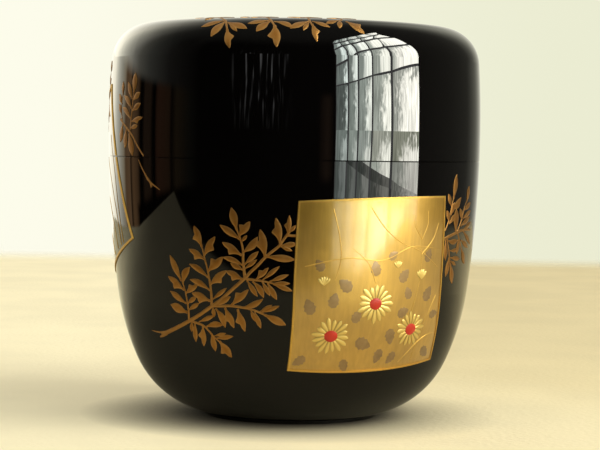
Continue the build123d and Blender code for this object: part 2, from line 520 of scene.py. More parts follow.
LEFT_SPRAY_LEAFLETS = (
    (181.5, 281, 170, 255, 5.6), (184.5, 290, 168.5, 276.3, 6.4, TOOTH_LEFT), (186.5, 303.5, 170.5, 291, 5.6),
    (187.5, 312.5, 171, 304.5, 8.2), (183, 284, 189.8, 267, 6.6, BENT_LEFT),
    (185.5, 293.5, 198, 284, 6.0, TOOTH_LEFT), (187.5, 303.5, 196.5, 296.5, 4.6), (188.5, 310, 199.3, 303, 4.8),
    (202, 247, 194, 225.8, 6.8, TOOTH_LEFT), (205, 259.5, 189.3, 249, 6.6, TOOTH_LEFT),
    (208.5, 278, 189.3, 264, 5.4, BENT_RIGHT), (210, 290.5, 190, 279.5, 5.8, BENT_RIGHT),
    (210.5, 301, 192, 292.8, 7.6, TOOTH_LEFT), (203.7, 256, 215, 236.6, 7.2, TOOTH_RIGHT),
    (207.5, 271.5, 223, 257, 8.4, TOOTH_LEFT), (209.5, 285, 226.5, 270.5, 7.6, TOOTH_RIGHT),
    (212.5, 299.5, 226.7, 288, 4.4), (236.8, 230, 231.3, 207.6, 7.8), (240.5, 239.5, 220, 225, 6.6),
    (242, 255.5, 222.3, 242.3, 7.4, TOOTH_LEFT), (243.5, 266, 222.5, 257.3, 5.2, BENT_RIGHT),
    (243, 270, 230.5, 263, 5.6), (243, 279.5, 226, 271, 6.8, TOOTH_LEFT), (238.5, 236.5, 250, 221.6, 8.0, TOOTH_LEFT),
    (241.5, 242, 247, 235.3, 3.4), (242.5, 252, 257.6, 236.8, 7.6, BENT_RIGHT), (244.5, 264.5, 258.4, 251.5, 5.6),
    (244.5, 269, 257, 259.6, 4.2), (265.5, 258, 260.3, 229.5, 8.8, TOOTH_LEFT), (266, 256.5, 295.6, 259.8, 7.2),
    (280.5, 244.5, 276, 218, 8.0, TOOTH_LEFT), (281, 245.5, 297.5, 244, 5.4), (280.5, 246.5, 292.3, 251, 3.6),
    (288, 236, 289.4, 215.4, 5.4, TOOTH_LEFT), (288.5, 233, 296.3, 225.2, 3.6),
    (219.5, 341, 231.8, 357.2, 9.2, TOOTH_RIGHT), (192, 321, 191.8, 331.8, 3.6), (195, 322.5, 196, 341.8, 4.6),
    (203, 325.5, 204, 346, 5.8, TOOTH_RIGHT), (211.8, 333.5, 215.6, 351.2, 5.6), (199, 321.8, 214.6, 315.5, 4.6),
    (206, 327, 223.5, 325, 6.0, BENT_LEFT), (214, 336, 226, 333.3, 3.6), (216, 338.3, 233.2, 336.3, 4.8),
    (264, 314.5, 285.8, 325, 7.8), (213, 306.5, 214.3, 317, 4.6), (215.5, 308.5, 225.4, 327.6, 6.2, BENT_LEFT),
    (225, 307.5, 234, 327.8, 7.0, TOOTH_RIGHT), (237.5, 309, 245, 331.3, 7.0, TOOTH_RIGHT),
    (250.5, 309.5, 256, 321.8, 4.2), (254.5, 311.5, 261, 328.3, 4.8), (217, 305.3, 230.5, 296.5, 5.6),
    (231, 305.5, 248.6, 289.5, 7.4, TOOTH_LEFT), (242, 307.5, 263, 299, 6.0, BENT_RIGHT),
    (259.5, 311.8, 272.3, 305, 3.8), (261.5, 312.5, 279.3, 306, 4.6), (273, 284, 292.6, 291.2, 4.8),
    (272, 283.5, 290, 283.5, 4.4), (247, 280.5, 257.3, 296.5, 5.0), (252.5, 281.5, 263.8, 298, 5.8, BENT_LEFT),
    (262, 281.5, 270, 295.8, 4.6), (267.5, 283, 276.8, 299.8, 5.6), (255.5, 280, 268.5, 267.8, 5.6, TOOTH_LEFT),
    (262.5, 280, 279.6, 266.3, 4.6), (269.5, 281.5, 288.7, 274.8, 4.6),
)
RIGHT_SPRAY_STROKES = (
    (((444, 239.5), (450, 236), (457, 232.5), (463, 230), (470, 229.5)), 0.6, 0.4),
    (((445, 231), (448.5, 222), (450.5, 213), (452, 206), (453.8, 197)), 0.4, 0.25),
    (((457, 232), (461, 222), (463, 214), (465, 206), (467, 200)), 0.4, 0.25),
    (((447, 238), (448.5, 248), (449.5, 258), (450.6, 266)), 0.4, 0.25),
    (((457.5, 233), (460, 242), (461.3, 251)), 0.4, 0.25),
)
RIGHT_SPRAY_LEAFLETS = (
    (453.5, 199, 456.6, 174.6, 4.2), (451.2, 206, 448.3, 194, 4.4), (449.6, 222, 446.8, 210.5, 3.8),
    (452, 208, 461, 197.5, 5.4, BENT_RIGHT), (450.8, 215, 454.6, 202.5, 3.6), (455.5, 232, 456.3, 208.6, 6.4),
    (449, 224, 455, 214.5, 3.4), (466.5, 202, 469.3, 186, 2.6), (462, 220, 460, 208.5, 3.0),
    (464.5, 210, 470.2, 202.5, 3.4), (462.6, 218.5, 470.4, 210.5, 3.4), (460.5, 226, 469.5, 216.5, 3.8),
    (445.6, 240, 445.2, 260.4, 3.6), (450.3, 264, 451.8, 283.4, 4.2), (449.2, 257, 445.4, 276.6, 3.8),
    (450, 257.5, 459.3, 259, 4.8), (450.5, 261, 455.5, 265, 3.2), (449.4, 250.5, 458.4, 248, 3.6, BENT_RIGHT),
    (447.6, 240.5, 457.6, 240, 5.4, BENT_RIGHT), (461.2, 249, 464, 263.7, 3.2), (460.6, 240, 467.4, 247.5, 4.0),
    (459, 238, 456.4, 254, 2.8), (463, 231, 469.6, 244, 3.0), (463, 229.8, 470.5, 222, 3.0),
)
LID_SIDE_STROKES = (
    (((143.6, 156), (138, 147), (133, 137), (129, 131), (124, 124.5), (120.5, 119)), 0.3, 0.45),
    (((130.5, 130), (131, 120), (132, 110), (133, 100), (134, 92)), 0.4, 0.25),
    (((123, 123), (121.5, 112), (122, 102), (123, 94)), 0.35, 0.25),
)
LID_SIDE_LEAFLETS = (
    (134, 93, 135.8, 72.8, 4.4), (133.2, 100, 140.2, 92.3, 4.6), (132.5, 110.5, 140.7, 103.3, 4.8),
    (131.6, 121.5, 142.5, 117.3, 4.6, TOOTH_RIGHT), (130.8, 128, 137.6, 125.5, 4.2), (132.4, 99, 128.4, 82, 3.6),
    (131.7, 109, 124.5, 95.8, 3.8, BENT_RIGHT), (130.8, 119, 123, 107.5, 3.8, BENT_RIGHT),
    (123.2, 95, 123.6, 81.5, 3.4), (122.2, 104, 119.6, 94, 2.6), (121.8, 114, 119.4, 104, 2.6),
    (129.4, 133, 132.6, 155.6, 5.0), (126.5, 129, 125, 148, 4.2), (123, 124, 120.6, 142, 3.2),
)
SEAM_STEM_STROKES = (
    (((138.3, 159.5), (141, 166), (144, 172), (147.5, 178.5), (150, 182), (151.7, 187.2)), 0.2, 0.45),
    (((147, 178), (151, 183), (155.5, 186.5), (160, 190)), 0.45, 0.1),
)
SHOULDER_LEAFLETS = (
    (225, 20.6, 201.5, 27, 3.6), (225.5, 21.6, 211, 36.6, 6.6), (227.2, 29, 229.6, 48.2, 7.4, TOOTH_LEFT),
    (228, 22.6, 247, 28.6, 5.8), (229, 23.6, 237, 31.4, 4.0), (269.5, 20.4, 247.8, 23.6, 3.4),
    (270, 21.2, 256.3, 31.4, 7.0), (274.6, 25, 276.8, 47.2, 9.6, TOOTH_RIGHT), (274, 21.6, 292.5, 28, 4.6, BENT_LEFT),
    (308.5, 21.4, 290, 28.4, 5.2), (309, 22.4, 303.4, 30.2, 4.4), (312.2, 24, 317, 41.8, 6.0, TOOTH_LEFT),
    (312, 21.4, 330, 27.4, 3.4), (338.5, 20.4, 326.2, 23.6, 3.4), (339.6, 20.6, 339.6, 28.6, 5.4),
    (346, 21.6, 364.2, 34, 5.8, TOOTH_LEFT),
)
SHOULDER_STALKS = (((226, 21), (227.4, 31)), ((271.2, 20.4), (275, 27)), ((309.6, 21), (312.6, 26)))


def picture_spray(drawing, strokes, leaflets):
    """Strokes and leaflets whose places are pixels of the picture."""
    for places, start_width, end_width in strokes:
        drawing.stroke([drawing.seen(*place) for place in places], start_width * MM, end_width * MM)
    for base_x, base_y, tip_x, tip_y, breadth, *kind in leaflets:
        start, end = drawing.seen(base_x, base_y), drawing.seen(tip_x, tip_y)
        middle = Vector(((base_x + tip_x) / 2, (base_y + tip_y) / 2))
        aside = Vector((base_y - tip_y, tip_x - base_x)).normalized() * breadth / 2
        try:
            sides = [drawing.seen(*(middle + sign * aside)) for sign in (1, -1)]
            across = (sides[0] - sides[1]).cross((end - start).normalized()).length
        except ValueError:
            # An edge of the leaflet lies past the caddy's own edge
            across = LEAFLET_BREADTH * (end - start).length
        drawing.mark(start, end, min(across, WIDEST_LEAFLET * (end - start).length), *kind)


# Breadths of leaflets as shares of their length, and the length of the longest one that a rule draws
LEAFLET_BREADTH, WIDEST_LEAFLET, END_LEAFLET_BREADTH = 0.34, 0.45, 0.36
LONGEST_LEAFLET = 3.6 * MM


def side_leaflet(drawing, foot, heading, turn, length, breadth, kind):
    """A leaflet that leaves its stem at a turn, in degrees."""
    reach = heading * length
    reach.rotate(Euler((0, 0, math.radians(turn))))
    drawing.mark(foot, foot + reach, breadth, kind)


def fern_shoot(drawing, start, end, pairs, width, turns):
    """A whole shoot by rule: a stem, pairs of leaflets that shorten toward the end, and an end leaflet."""
    along = end - start
    heading = along.normalized()
    # The stem runs a little into the end leaflet, and the leaflets are about as long as the gaps between them
    drawing.stroke([start, start + 0.5 * along, start + 0.86 * along], width, 0.6 * width)
    size = min(0.62 * along.length / (pairs + 0.5) + 1.1 * MM, LONGEST_LEAFLET)
    drawing.mark(start + 0.84 * along, end, END_LEAFLET_BREADTH * max(0.16 * along.length, size))
    for i in range(pairs):
        share = (i + 0.55) / (pairs + 0.35)
        length = size * (1 - 0.3 * share)
        for side, toothed in ((1, TOOTH_LEFT), (-1, TOOTH_RIGHT)):
            turn, kind = side * turns.uniform(38, 50), turns.choice((PLAIN, toothed))
            side_leaflet(drawing, start + share * along, heading, turn, length, LEAFLET_BREADTH * length, kind)


class CADDY_OT_lacquer(bpy.types.Operator):
    """Finishes the coats of lacquer and the turned wood"""

    bl_idname = "caddy.lacquer"
    bl_label = "Lacquer and wood"

    def execute(self, context):
        look = context.scene.caddy_lacquer
        finish(polished_lacquer(look), *OUTSIDE_COATS)
        finish(plain_lacquer(look), "body_inner_lacquer", "lid_inner_lacquer")
        finish(turned_wood(look), "body_core", "lid_core")
        return {"FINISHED"}


class CADDY_OT_cards(bpy.types.Operator):
    """Finishes the gold card, its border and the line round the side card"""

    bl_idname = "caddy.cards"
    bl_label = "Cards"

    def execute(self, context):
        look = context.scene.caddy_gold
        finish(card_gold(look), "gold_card")
        finish(line_gold(look), "card_border", "side_card_line_cup", "side_card_line_lid")
        return {"FINISHED"}


class CADDY_OT_sprays(bpy.types.Operator):
    """Lays the fern sprays on the cup, on the lid's side and over its top"""

    bl_idname = "caddy.sprays"
    bl_label = "Fern sprays"

    def execute(self, context):
        look = context.scene.caddy_gold
        gold = spray_gold(look)
        leaflets = fern_leaflets(look.leaflet_relief)
        for name, strokes, marks, body in (
            ("left_spray", LEFT_SPRAY_STROKES, LEFT_SPRAY_LEAFLETS, "body"),
            ("right_spray", RIGHT_SPRAY_STROKES, RIGHT_SPRAY_LEAFLETS, "body"),
            ("seam_stem", SEAM_STEM_STROKES, (), "body"),
            ("lid_side_spray", LID_SIDE_STROKES, LID_SIDE_LEAFLETS, "lid"),
        ):
            drawing = Drawing(on_side)
            picture_spray(drawing, strokes, marks)
            if name == "lid_side_spray":
                self.unseen_shoots(drawing)
            laid(name, drawing, leaflets, gold, body)
        drawing = Drawing(on_top)
        picture_spray(drawing, [(stalk, 0.4, 0.3) for stalk in SHOULDER_STALKS], SHOULDER_LEAFLETS)
        self.top_shoots(drawing)
        laid("lid_top_spray", drawing, leaflets, gold, "lid", over_top=True)
        discard(leaflets)
        return {"FINISHED"}

    def unseen_shoots(self, drawing):
        """The side spray's shoots beyond the edge of the picture, by rule."""
        turns = random.Random(3)
        line = [drawing.place(math.radians(azimuth), height * MM) for azimuth, height in UNSEEN_STEM]
        drawing.stroke(line, 0.5 * MM, 0.3 * MM)
        for root, azimuth, height, pairs in UNSEEN_SHOOTS:
            end = drawing.place(math.radians(azimuth), height * MM)
            fern_shoot(drawing, line[root], end, pairs, 0.35 * MM, turns)

    def top_shoots(self, drawing):
        """The top spray's main stem and its shoots, where the picture doesn't reach, by rule."""
        turns = random.Random(5)
        stem = [Vector((x * MM, y * MM, 0)) for x, y in TOP_STEM]
        drawing.stroke(stem, 0.6 * MM, 0.35 * MM)
        for start, place in zip(stem[1:], TOP_FRONTS):
            front = drawing.seen(*place)
            along = front - start
            drawing.stroke([start, 0.5 * (start + front), front], 0.5 * MM, 0.4 * MM)
            for share in (0.3, 0.66):
                for side, kind in ((1, TOOTH_LEFT), (-1, TOOTH_RIGHT)):
                    turn = side * turns.uniform(40, 50)
                    foot = start + share * along
                    side_leaflet(drawing, foot, along.normalized(), turn, 3.4 * MM, 1.2 * MM, kind)
        for root, x, y, pairs, width in TOP_SHOOTS:
            fern_shoot(drawing, stem[root], Vector((x * MM, y * MM, 0)), pairs, width * MM, turns)


# Stems and shoots by rule, in millimetres, and in degrees round the axis from the front. A shoot is the place
# on its stem that it leaves from, where it ends, and its pairs of leaflets.
UNSEEN_STEM = ((-79.5, 52.5), (-86, 54.6), (-93, 56.4), (-100, 57.8), (-106, 58.8))
UNSEEN_SHOOTS = (
    (1, -82, 62.2, 3), (2, -91, 63.4, 3), (3, -101, 63.2, 2), (1, -92, 48.2, 3), (2, -100, 50.8, 2),
    (3, -107.5, 54.2, 2), (4, -111, 60.6, 2),
)
TOP_STEM = ((-24, -9), (-17, -11), (-9, -11.8), (0, -11.4), (8, -10), (15, -7.6), (20, -4.6))
TOP_SHOOTS = (
    (1, -17, 5.5, 4, 0.42), (2, -7.5, 7.5, 4, 0.42), (3, 3, 7, 4, 0.42), (4, 12, 5, 3, 0.42),
    (5, 19.5, 3.4, 2, 0.42), (6, 25.4, -2.4, 1, 0.35),
)
# Where shoots of the top come into the picture, in its pixels
TOP_FRONTS = ((226, 21), (271.2, 20.4), (309.6, 21), (341, 20.8))

# Where the cards lie: azimuth in degrees and height in millimetres of the middle, and tilt in degrees
CARD = (27.4, 25.2, 1.9)
SIDE_CARD = (-91.0, 40.0, 20.5)
# What is on the cards, in millimetres from their middles: blossoms and buds with their radius, leaves with their
# direction in degrees and their length, and fine raised lines
BLOSSOMS = ((-7.9, -8.3, 3.2), (-0.6, -3.2, 3.4), (7.0, -8.0, 3.1))
BUDS = ((-9.6, 0.2, 1.5), (8.6, 0.4, 1.7), (3.4, 2.6, 1.2))
CARD_LEAVES = (
    (-3.6, -9.4, -20, 3.0), (-4.4, -6.2, 60, 2.4), (-11.2, -4.6, 110, 2.8), (-8.2, -3.6, 75, 2.6),
    (-5.0, -0.8, 140, 2.8), (-11.4, -11.8, 215, 2.2), (-5.4, -12.4, 290, 2.4), (2.6, -7.6, 280, 2.8),
    (1.4, -11.0, 250, 2.6), (3.9, -5.4, 20, 2.4), (4.0, 0.2, 50, 2.6), (-0.6, 1.4, 100, 2.6), (9.6, -3.4, 60, 2.8),
    (11.2, -6.0, 10, 2.0), (10.4, -11.6, 320, 2.4), (4.4, -11.8, 230, 2.4), (6.2, -2.8, 110, 2.2),
    (-9.8, 2.6, 120, 2.2), (9.6, 3.2, 70, 2.4), (1.6, 4.2, 30, 2.0),
)
CARD_LINES = (
    ((-12.6, 3.4), (-6, 4.6), (0.5, 4.0), (6.4, 6.0), (12.6, 5.2)),
    ((-8.4, 12.8), (-7.4, 8.6), (-7.0, 4.6), (-7.8, 1.0)), ((12.4, -2.6), (10.2, -6.8), (8.6, -11.6), (8.2, -13.8)),
    ((5.4, -13.6), (8.8, -10.6), (11.0, -9.4), (12.9, -9.2)),
    ((-2.0, 12.9), (0.6, 9.4), (4.0, 6.8), (8.4, 5.0), (12.4, 2.2)), ((-0.8, 0.4), (-2.2, 3.6), (-5.2, 6.4)),
    ((6.8, -5.0), (7.8, -1.6), (8.4, 1.6), (8.2, 8.6)), ((8.3, 7.2), (6.8, 9.4), (6.4, 11.2)),
    ((8.3, 7.0), (9.6, 9.6), (9.6, 11.8)), ((8.4, 4.6), (11.0, 7.0), (12.2, 9.6)),
)
SIDE_CARD_LINES = (
    ((8.6, -13.6), (9.2, -8.0), (8.4, -2.0), (5.8, 3.4)), ((9.8, -13.6), (10.8, -7.0), (11.6, -1.0), (11.2, 5.6)),
    ((6.4, -13.6), (6.0, -8.6), (3.8, -4.0), (0.4, -1.4)), ((3.0, -13.6), (0.6, -9.6), (-3.4, -7.0), (-8.0, -6.2)),
)


class CardPlace:
    """Turns places on a card, in millimetres from its middle, into flat places on the side."""

    def __init__(self, azimuth, height, tilt):
        self.azimuth, self.height, self.tilt = math.radians(azimuth), height * MM, math.radians(tilt)

    def __call__(self, x, y, turn=0.0, reach=0.0):
        """Place of a point, or of what is at a reach from it, turned in degrees from the right."""
        x += reach * math.cos(math.radians(turn))
        y += reach * math.sin(math.radians(turn))
        across = (x * math.cos(self.tilt) - y * math.sin(self.tilt)) * MM
        height = self.height + (x * math.sin(self.tilt) + y * math.cos(self.tilt)) * MM
        return on_side(self.azimuth + math.asin(across / at_height(height, RADII)), height)


def flower_motifs(relief):
    """A petal, a rounded leaf and a blossom's heart, each in a collection."""
    stations = len(LEAF_LOBES)
    shares = [i / (stations - 1) for i in range(stations)]
    petal = [0.5 * share ** 0.6 * (1 - share ** 7) + 0.04 for share in shares]
    leaf = [(0.5 * math.sin(math.pi * share ** 0.75) ** 0.7 + 0.02) * lobe for share, lobe in zip(shares, LEAF_LOBES)]
    heart = [0.5 * math.sin(math.pi * (0.5 + i) / stations) ** 0.55 for i in range(stations)]
    return [
        motif_collection(name, [motif(name, halves, halves, height)]) for name, halves, height in (
            ("petal", petal, relief), ("leaf", leaf, LEAF_RELIEF), ("heart", heart, 2.2 * relief))
    ]


# The scalloped edge of a leaf on the card, from its base to its tip
LEAF_LOBES = (1, 1.1, 0.86, 1.12, 0.84, 1.1, 0.86, 1, 1)
LEAF_RELIEF = 0.03 * MM
CARD_RELIEF = 0.12 * MM
# Petals of a blossom, a petal's breadth as a share of the blossom's radius, and how far from the blossom's middle
# it starts, in millimetres
PETALS, PETAL_BREADTH, PETAL_START = 16, 0.2992, 0.8
# A blossom's heart: its half length and its breadth, in millimetres
HEART_REACH, HEART_BREADTH = 1.05, 2.0
# Directions of a bud's petals
BUD_TURNS = (50, 72, 90, 108, 130)
# Breadths of a bud's petals and of leaves as shares of their length
BUD_PETAL_BREADTH, CARD_LEAF_BREADTH = 0.42, 0.72


class CADDY_OT_card_picture(bpy.types.Operator):
    """Lays blossoms, leaves and fine lines on the cards"""

    bl_idname = "caddy.card_picture"
    bl_label = "Picture on the card"

    def execute(self, context):
        look = context.scene.caddy_gold
        card, side_card = CardPlace(*CARD), CardPlace(*SIDE_CARD)
        petals, leaves, hearts = flower_motifs(look.petal_relief)
        line = line_gold(look)

        drawing = Drawing(on_side)
        for x, y, radius in BLOSSOMS:
            for i in range(PETALS):
                # No two blossoms are turned alike, and their petals differ in length
                turn = 360 / PETALS * i + 4 * x
                tip = card(x, y, turn, radius * (1 - 0.07 * (i % 3)))
                drawing.mark(card(x, y, turn, PETAL_START), tip, PETAL_BREADTH * radius * MM)
        for x, y, radius in BUDS:
            for turn in BUD_TURNS:
                drawing.mark(card(x, y), card(x, y, turn, radius), BUD_PETAL_BREADTH * radius * MM)
        laid("card_petals", drawing, petals, pale_gold(look), "body", CARD_RELIEF)

        drawing = Drawing(on_side)
        for x, y, radius in BLOSSOMS:
            drawing.mark(card(x - HEART_REACH, y), card(x + HEART_REACH, y), HEART_BREADTH * MM)
        laid("card_hearts", drawing, hearts, red_lacquer(look), "body", CARD_RELIEF)

        drawing = Drawing(on_side)
        for x, y, turn, length in CARD_LEAVES:
            drawing.mark(card(x, y), card(x, y, turn, length), CARD_LEAF_BREADTH * length * MM)
        laid("card_leaves", drawing, leaves, dull_gold(look), "body", CARD_RELIEF)

        for name, place, lines, width, end_width, height in (
            ("card_lines", card, CARD_LINES, 0.2, 0.12, CARD_RELIEF),
            ("side_card_grasses", side_card, SIDE_CARD_LINES, 0.26, 0.14, 0.0),
        ):
            drawing = Drawing(on_side)
            for places in lines:
                drawing.stroke([place(x, y) for x, y in places], width * MM, end_width * MM)
            laid(name, drawing, petals, line, "body", height, flatness=0.5)
        for motifs in (petals, leaves, hearts):
            discard(motifs)
        return {"FINISHED"}


# Finishes


def finish(material, *nodes):
    """Gives CAD nodes a material."""
    for node in nodes:
        mesh = frame["nodes"][node].data
        mesh.materials.clear()
        mesh.materials.append(material)


def new_material(name):
    """A material with an empty tree, what adds a node to that tree, and its Object coordinates."""
    made = bpy.data.materials.new(name)
    made.use_nodes = True
    made.node_tree.nodes.clear()
    node = functools.partial(add, made.node_tree)
    return made, node, node("TexCoord").outputs["Object"]


def surfaced(made, **sockets):
    """Ends a material in one shader, with values for its sockets or what to link them to."""
    add(made.node_tree, "OutputMaterial", add(made.node_tree, "BsdfPrincipled", **sockets))
    return made


def per_metre(size):
    """Scale of a pattern that repeats at this size."""
    return 1 / size


URUSHI_IOR = 1.52


def polished_lacquer(look):
    """Urushi lacquer, polished with fine powder: a deep black mirror, faintly rippled by hand."""
    made, node, place = new_material("polished_black_urushi")
    ripple = node("TexNoise", Vector=place, Scale=per_metre(look.ripple), Detail=1.0)
    return surfaced(
        made, Base_Color=rgba(look.black), Roughness=look.gloss_roughness, IOR=URUSHI_IOR,
        Normal=node("Bump", Height=ripple, Distance=0.003 * MM))


def plain_lacquer(look):
    """Urushi lacquer, brushed on and left as it flowed: a softer black gloss."""
    made, node, place = new_material("brushed_black_urushi")
    flow = node("TexNoise", Vector=place, Scale=per_metre(4 * MM), Detail=2.0)
    return surfaced(
        made, Base_Color=rgba(look.black), Roughness=look.inside_roughness, IOR=URUSHI_IOR,
        Normal=node("Bump", Height=flow, Distance=0.01 * MM))


def turned_wood(look):
    """Horse chestnut wood, turned on a lathe: fine growth rings along the grain."""
    made, node, place = new_material("turned_chestnut_wood")
    rings = node("TexWave", Vector=place, Scale=per_metre(30 * MM), Distortion=2.5, Detail=3.0, wave_type="RINGS",
                 rings_direction="X").outputs["Fac"]
    return surfaced(made, Base_Color=node("MixRGB", rings, rgba(look.wood), rgba(look.wood, 0.62)), Roughness=0.7)


def card_gold(look):
    """Fine gold powder, burnished flat and clear-coated: a soft metal, brushed up and down, under a sharp gloss.

    The powder's grain is drawn coarse enough to show, here and in the other powders.
    """
    made, node, place = new_material("burnished_gold_powder")
    grain = node("TexNoise", Vector=place, Scale=per_metre(look.powder_grain), Detail=2.0)
    strokes = node("Mapping", Vector=place, Scale=(1, 1, 0.06))
    brushed = node("TexNoise", Vector=strokes, Scale=per_metre(0.6 * MM), Detail=3.0)
    cloud = node("TexNoise", Vector=place, Scale=per_metre(7 * MM), Detail=2.0)
    tone = node("MixRGB", node("MapRange", cloud, 0.35, 0.65), rgba(look.card, 0.88), rgba(look.card, 1.06))
    streaks = node("MapRange", brushed, 0.35, 0.65, 0.92, 1.02)
    return surfaced(
        made, Base_Color=node("MixRGB", 1.0, tone, streaks, blend_type="MULTIPLY"), Metallic=1.0,
        Roughness=node("MapRange", grain, 0.3, 0.7, 0.29, 0.37), Coat_Weight=1.0, Coat_Roughness=0.11,
        Coat_IOR=1.7, Normal=node("Bump", Height=grain, Distance=0.01 * MM))


def line_gold(look):
    """Raised gold line, burnished: the brightest gold."""
    made, node, place = new_material("burnished_gold_line")
    grain = node("TexNoise", Vector=place, Scale=per_metre(0.4 * MM), Detail=2.0)
    return surfaced(
        made, Base_Color=node("MixRGB", grain, rgba(look.line, 0.8), rgba(look.line)), Metallic=1.0,
        Roughness=0.4, Normal=node("Bump", Height=grain, Distance=0.02 * MM))


def pale_gold(look):
    """Pale gold powder, built up on the petals: brighter along each rib than at its edges."""
    made, node, place = new_material("raised_pale_gold_powder")
    rib = node("Attribute", attribute_name="rib").outputs["Fac"]
    grain = node("TexNoise", Vector=place, Scale=per_metre(look.powder_grain))
    return surfaced(
        made, Base_Color=node("MixRGB", rib, rgba(look.petal, 0.62), rgba(look.petal)), Metallic=1.0,
        Roughness=0.36, Coat_Weight=0.6, Coat_Roughness=0.2,
        Normal=node("Bump", Height=grain, Distance=0.01 * MM))


def dull_gold(look):
    """Alloy powder rubbed thin over the card: a dull brownish gold, cloudy and half matt."""
    made, node, place = new_material("rubbed_alloy_powder")
    cloud = node("TexNoise", Vector=place, Scale=per_metre(1.1 * MM), Detail=3.0)
    return surfaced(
        made, Base_Color=node("MixRGB", cloud, rgba(look.leaf, 0.7), rgba(look.leaf, 1.3)), Metallic=1.0,
        Roughness=0.4, Coat_Weight=1.0, Coat_Roughness=0.14)


def red_lacquer(look):
    """Vermilion lacquer, dropped in a low bead: a glossy opaque red."""
    made, node, place = new_material("vermilion_lacquer")
    cloud = node("TexNoise", Vector=place, Scale=per_metre(0.5 * MM), Detail=2.0)
    return surfaced(
        made, Base_Color=node("MixRGB", cloud, rgba(look.red, 0.8), rgba(look.red)), Roughness=0.3)


def spray_gold(look):
    """Reddish gold powder, sprinkled in wet lacquer: matt and grainy, with a painted highlight that makes each
    leaflet paler along its edges, and paler in random patches of wear.
    """
    made, node, place = new_material("sprinkled_gold_powder")
    grain = node("TexNoise", Vector=place, Scale=per_metre(look.powder_grain), Detail=2.0)
    wear = node("TexNoise", Vector=place, Scale=per_metre(1.6 * MM), Detail=3.0)
    rib = node("Attribute", attribute_name="rib").outputs["Fac"]
    worn = node("MapRange", wear, 0.35, 0.65, 0.55, 1.0)
    # Painted highlight: a leaflet's colour goes paler toward its edges, and random patches of wear make it paler too
    depth = node("Math", rib, worn, operation="MULTIPLY")
    return surfaced(
        made, Base_Color=node("MixRGB", depth, rgba(look.spray_edge_highlight), rgba(look.spray)), Metallic=1.0,
        Roughness=0.45, Normal=node("Bump", Height=grain, Distance=0.012 * MM))


# Stage


class CADDY_OT_stage(bpy.types.Operator):
    """Sets the floor, the room's light, the window and the camera"""

    bl_idname = "caddy.stage"
    bl_label = "Stage"

    def execute(self, context):
        look = context.scene.caddy_stage
        cloth_floor(look)
        window(look)
        room(look)
        camera()
        context.scene.view_settings.view_transform = "Standard"
        return {"FINISHED"}


def mirrored(tree, in_mirror, elsewhere):
    """A value that a polished mirror sees, and the value that everything else sees."""
    sharp = add(tree, "LightPath").outputs["Is Singular Ray"]
    return add(tree, "MapRange", sharp, 0.0, 1.0, elsewhere, in_mirror)


def stepped(tree, *steps):
    """Product of smooth steps: each has a value, where it starts and ends, and its levels there if not 0 and 1."""
    smooth = [add(tree, "MapRange", *step, interpolation_type="SMOOTHSTEP") for step in steps]
    return functools.reduce(lambda one, other: add(tree, "Math", one, other, operation="MULTIPLY"), smooth)


FLOOR_LEFT, FLOOR_RIGHT, FLOOR_FRONT, FLOOR_BACK = -0.46, 0.32, -0.24, 0.52
# Painted shade: share of its colour that the cloth gives to soft light, and what is left of that past the cloth's
# ends
CLOTH_BOUNCE, FLOOR_BOUNCE = 0.66, 0.45


